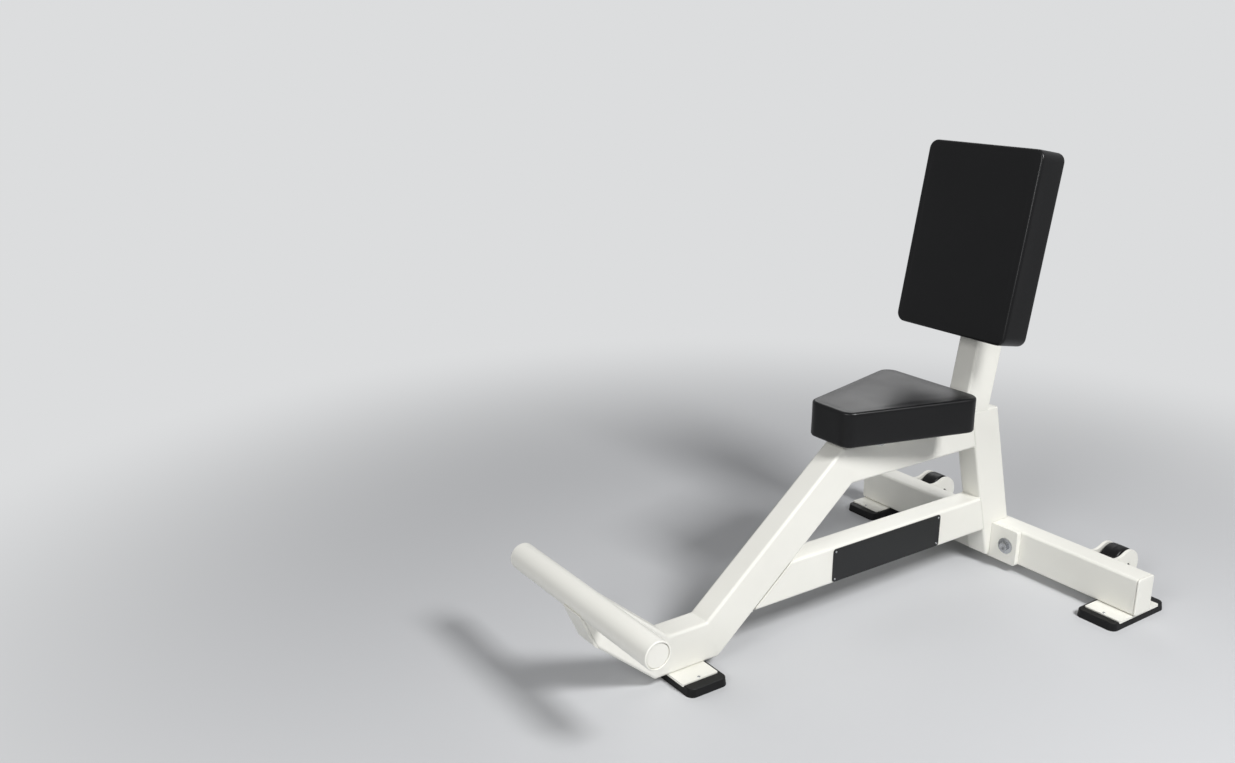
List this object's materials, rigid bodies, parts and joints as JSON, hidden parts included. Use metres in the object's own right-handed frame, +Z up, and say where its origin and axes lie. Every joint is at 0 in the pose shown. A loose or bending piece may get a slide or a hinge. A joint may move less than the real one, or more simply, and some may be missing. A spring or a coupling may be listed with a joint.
{
  "type": "upright bench",
  "caption": "Fixed upright gym bench: white tube spine, foot bar, tapered seat pad, leaning back pad, bolted rear beam, transport wheels.",
  "frame": {"origin": "on the floor, under the middle of the overall bounding box", "axes": "+Z up, -Y towards the foot bar and the way a sitter faces, +Y towards the cross beam and wheels, +X to the sitter's left, the side with the name plate"},
  "size_m": [0.729, 1.2168, 0.9061],
  "materials": {
    "frame_coat": "semi-gloss white powder coat",
    "upholstery": "smooth black vinyl, semi-gloss",
    "board": "dark plywood",
    "foot_rubber": "matt black",
    "tyre": "satin black",
    "black_plastic": "moulded black",
    "hardware": "zinc-plated",
    "badge": "satin charcoal, blank"
  },
  "bodies": {
    "frame": {"arm_end_plate": "frame_coat", "back_board": "board", "back_bolt_front_left": "hardware", "back_bolt_front_right": "hardware", "back_bolt_rear_left": "hardware", "back_bolt_rear_right": "hardware", "back_pad": "upholstery", "back_plate": "frame_coat", "back_post": "frame_coat", "back_post_cap": "black_plastic", "badge_plate": "badge", "base_tube": "frame_coat", "cross_beam": "frame_coat", "cross_beam_cap_left": "frame_coat", "cross_beam_cap_right": "frame_coat", "flange_bolt_left": "hardware", "flange_bolt_right": "hardware", "flange_nut_left": "hardware", "flange_nut_right": "hardware", "flange_plate": "frame_coat", "flange_washer_left": "hardware", "flange_washer_right": "hardware", "foot_arm": "frame_coat", "foot_bar": "frame_coat", "foot_bar_cap_left": "frame_coat", "foot_bar_cap_right": "frame_coat", "front_foot_plate": "frame_coat", "front_foot_screw_left": "hardware", "front_foot_screw_right": "hardware", "front_rubber_foot": "foot_rubber", "front_strut": "frame_coat", "lower_rail": "frame_coat", "rear_foot_plate_left": "frame_coat", "rear_foot_plate_right": "frame_coat", "rear_foot_screw_left_front": "hardware", "rear_foot_screw_left_rear": "hardware", "rear_foot_screw_right_front": "hardware", "rear_foot_screw_right_rear": "hardware", "rear_rubber_foot_left": "foot_rubber", "rear_rubber_foot_right": "foot_rubber", "rear_upright": "frame_coat", "seat_board": "board", "seat_bolt_front_left": "hardware", "seat_bolt_front_right": "hardware", "seat_bolt_rear_left": "hardware", "seat_bolt_rear_right": "hardware", "seat_pad": "upholstery", "seat_plate": "frame_coat", "seat_rail": "frame_coat", "wheel_axle_left": "hardware", "wheel_axle_right": "hardware", "wheel_ear_left_inner": "frame_coat", "wheel_ear_left_outer": "frame_coat", "wheel_ear_right_inner": "frame_coat", "wheel_ear_right_outer": "frame_coat"},
    "left_wheel": {"wheel_tyre_left": "tyre", "wheel_hub_left": "black_plastic"},
    "right_wheel": {"wheel_tyre_right": "tyre", "wheel_hub_right": "black_plastic"}
  },
  "joints": [
    {"name": "left_wheel_spin", "type": "hinge", "parent": "frame", "child": "left_wheel", "pos_m": [-0.2413, 0.57235, 0.0576], "axis": [1, 0, 0], "continuous": true},
    {"name": "right_wheel_spin", "type": "hinge", "parent": "frame", "child": "right_wheel", "pos_m": [0.2413, 0.57235, 0.0576], "axis": [1, 0, 0], "continuous": true}
  ]
}
